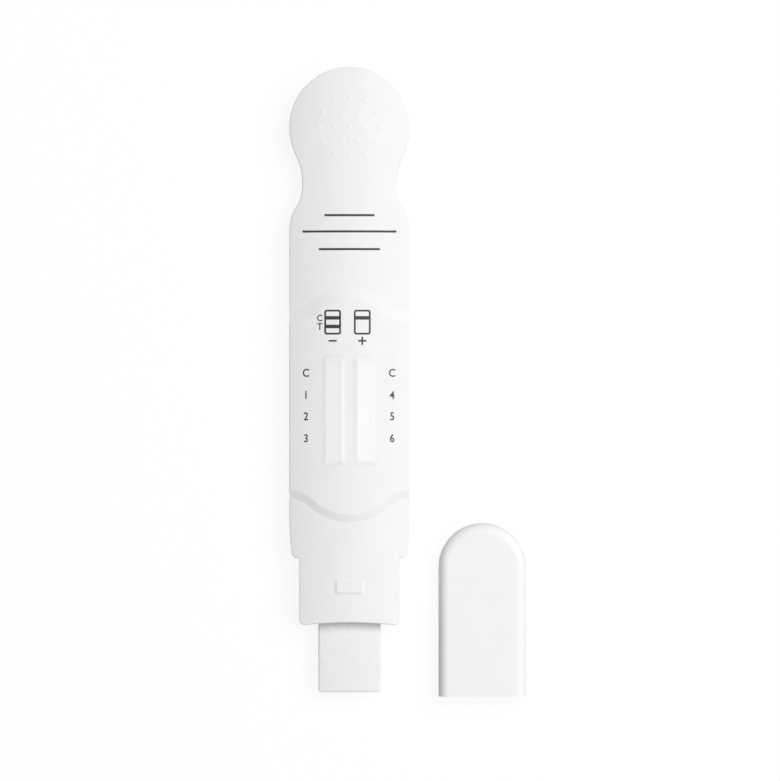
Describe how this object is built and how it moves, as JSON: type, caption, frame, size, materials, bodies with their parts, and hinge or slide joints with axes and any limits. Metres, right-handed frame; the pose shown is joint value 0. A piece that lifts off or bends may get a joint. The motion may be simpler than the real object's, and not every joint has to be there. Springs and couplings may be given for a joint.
{
  "type": "lateral flow cassette",
  "caption": "Handheld lateral flow test cassette with a round grip, raised windows over paired strips, an absorbent wick and a separate plug-in cap.",
  "frame": {"origin": "centre line of the flat back, half way along the housing with its wick", "axes": "+Y towards the round head, +Z out of the front face, +X to the right of the front face"},
  "size_m": [0.0497, 0.132, 0.0107],
  "materials": {
    "shell": "fine satin",
    "cap": "fine satin",
    "lens": "milky",
    "wick": "felted fibre",
    "card": "smooth",
    "membrane": "fine porous",
    "conjugate": "glass fibre",
    "pad": "soft fibre"
  },
  "bodies": {
    "root": {"front_shell": "shell", "rear_shell": "shell", "window_lens": "lens", "collector_wick": "wick", "cap": "cap", "left_backing_card": "card", "left_membrane": "membrane", "left_conjugate_pad": "conjugate", "left_sample_pad": "pad", "left_absorbent_pad": "pad", "right_backing_card": "card", "right_membrane": "membrane", "right_conjugate_pad": "conjugate", "right_sample_pad": "pad", "right_absorbent_pad": "pad"}
  },
  "joints": []
}
